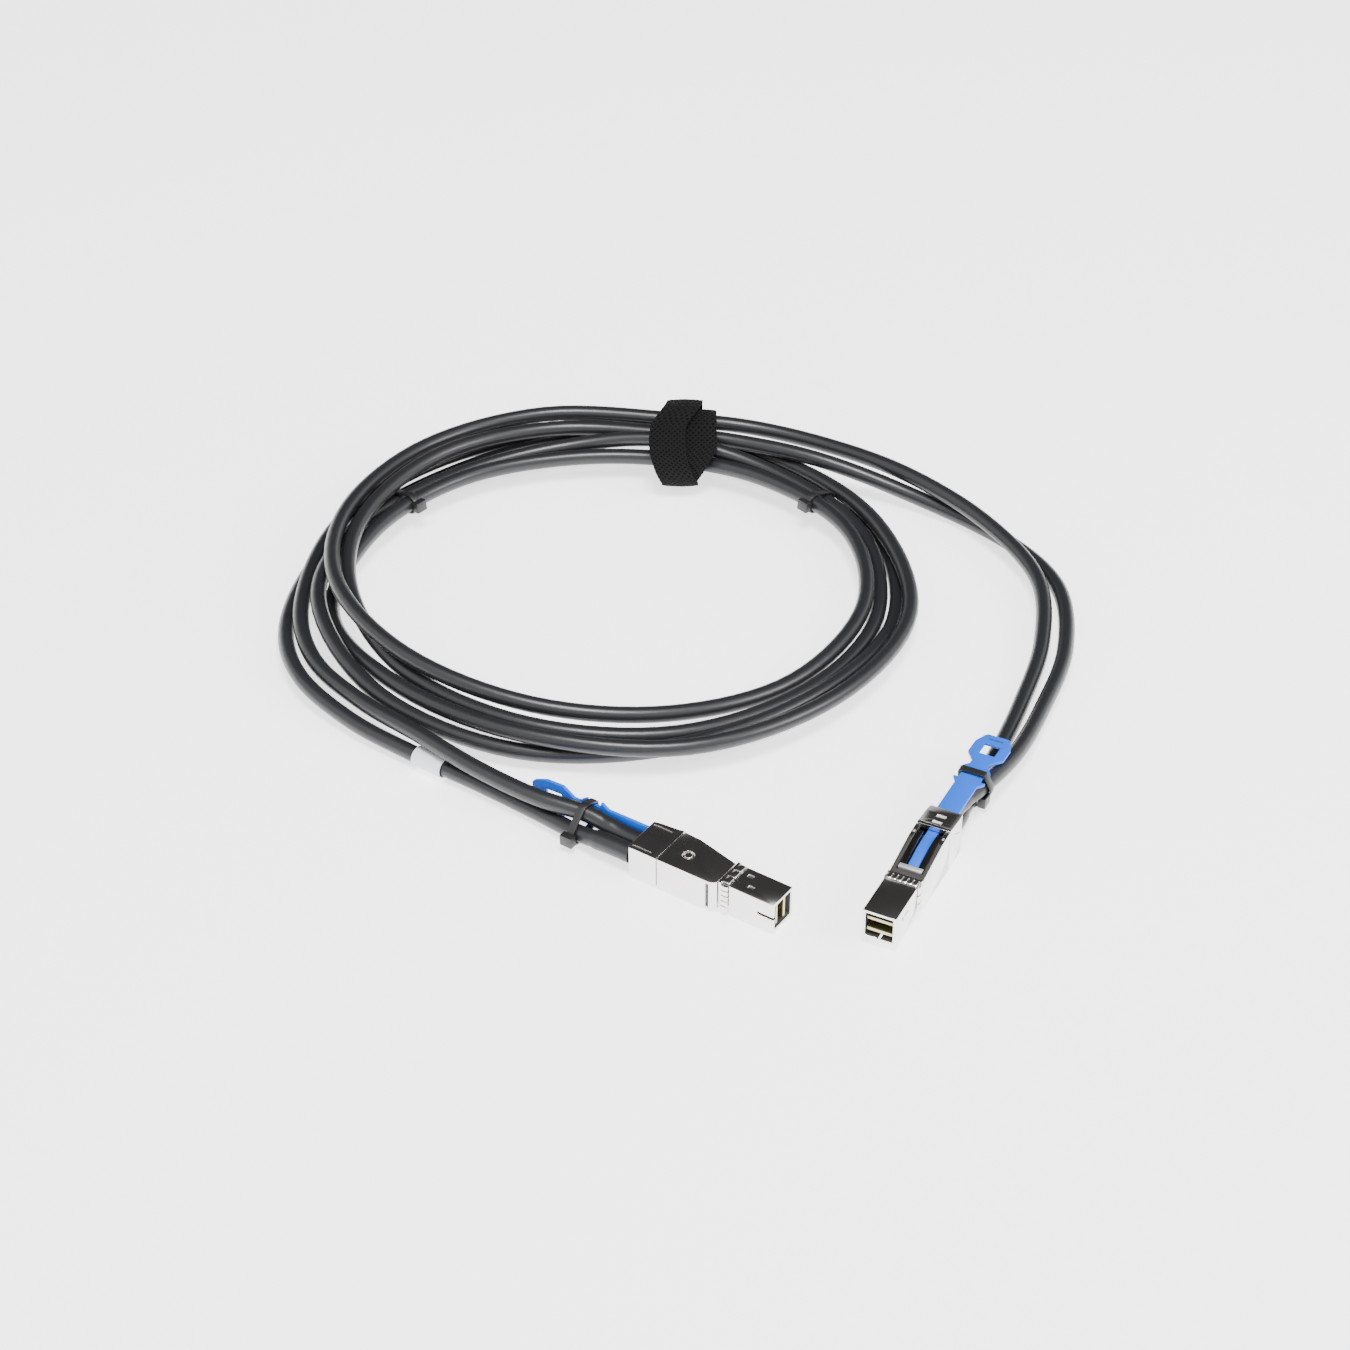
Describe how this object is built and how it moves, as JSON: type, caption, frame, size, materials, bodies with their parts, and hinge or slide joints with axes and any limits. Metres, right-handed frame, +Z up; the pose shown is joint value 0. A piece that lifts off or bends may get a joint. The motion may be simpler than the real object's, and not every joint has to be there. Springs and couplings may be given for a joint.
{
  "type": "mini sas hd cable",
  "caption": "Coiled external data cable: black jackets in a hook-and-loop strap, latching nickel plugs with blue pull tabs.",
  "frame": {"origin": "on the ground, under the middle of the box around the plugs, strap, ties and label", "axes": "+Z up, +X to the right of the coil as seen from the plugs, -Y toward the plugs"},
  "size_m": [0.2607, 0.2754, 0.0214],
  "materials": {
    "nickel": "bright nickel plating",
    "dark_nickel": "polished stamped metal",
    "cable_jacket": "smooth black jacket",
    "blue_plastic": "moulded blue plastic",
    "board": "circuit board with gold contacts",
    "insulator": "black insulator",
    "woven_strap": "black hook and loop weave",
    "tie_plastic": "black plastic",
    "label": "white film"
  },
  "bodies": {
    "cable_set": {"cable_a": "cable_jacket", "cable_b": "cable_jacket", "hook_and_loop_strap": "woven_strap", "label_sleeve": "label", "plug_a_card_holder": "insulator", "plug_a_card_lower": "board", "plug_a_card_upper": "board", "plug_a_front_housing": "nickel", "plug_a_nose_shell": "nickel", "plug_a_rear_cover": "nickel", "plug_a_rivet": "nickel", "plug_a_spring_collar": "nickel", "plug_a_tie": "tie_plastic", "plug_b_card_holder": "insulator", "plug_b_card_lower": "board", "plug_b_card_upper": "board", "plug_b_front_housing": "nickel", "plug_b_nose_shell": "nickel", "plug_b_rear_cover": "nickel", "plug_b_rivet": "nickel", "plug_b_spring_collar": "nickel", "plug_b_tie": "tie_plastic", "tie_left": "tie_plastic", "tie_right": "tie_plastic"},
    "tab_a": {"plug_a_pull_tab": "blue_plastic"},
    "latch_a": {"plug_a_latch_frame": "dark_nickel"},
    "tab_b": {"plug_b_pull_tab": "blue_plastic"},
    "latch_b": {"plug_b_latch_frame": "dark_nickel"}
  },
  "joints": [
    {"name": "tab_a_pull", "type": "slide", "parent": "cable_set", "child": "tab_a", "axis": [-0.8261, 0.5635, 0], "range_m": [0, 0.0018], "stiffness_N_per_m": 900},
    {"name": "latch_a_swing", "type": "hinge", "parent": "cable_set", "child": "latch_a", "pos_m": [0.00284, -0.10073, 0.00582], "axis": [0, 0, -1], "range_deg": [0, 4.5], "stiffness_Nm_per_rad": 0.05},
    {"name": "tab_b_pull", "type": "slide", "parent": "cable_set", "child": "tab_b", "axis": [0.4462, 0.8949, 0], "range_m": [0, 0.0018], "stiffness_N_per_m": 900},
    {"name": "latch_b_swing", "type": "hinge", "parent": "cable_set", "child": "latch_b", "pos_m": [0.07245, -0.10312, 0.0134], "axis": [0.8949, -0.4462, 0], "range_deg": [0, 4.5], "stiffness_Nm_per_rad": 0.05}
  ],
  "couplings": [
    {"joint": "latch_a_swing", "follows": "tab_a_pull", "rad_per_m": 43.6},
    {"joint": "latch_b_swing", "follows": "tab_b_pull", "rad_per_m": 43.6}
  ]
}
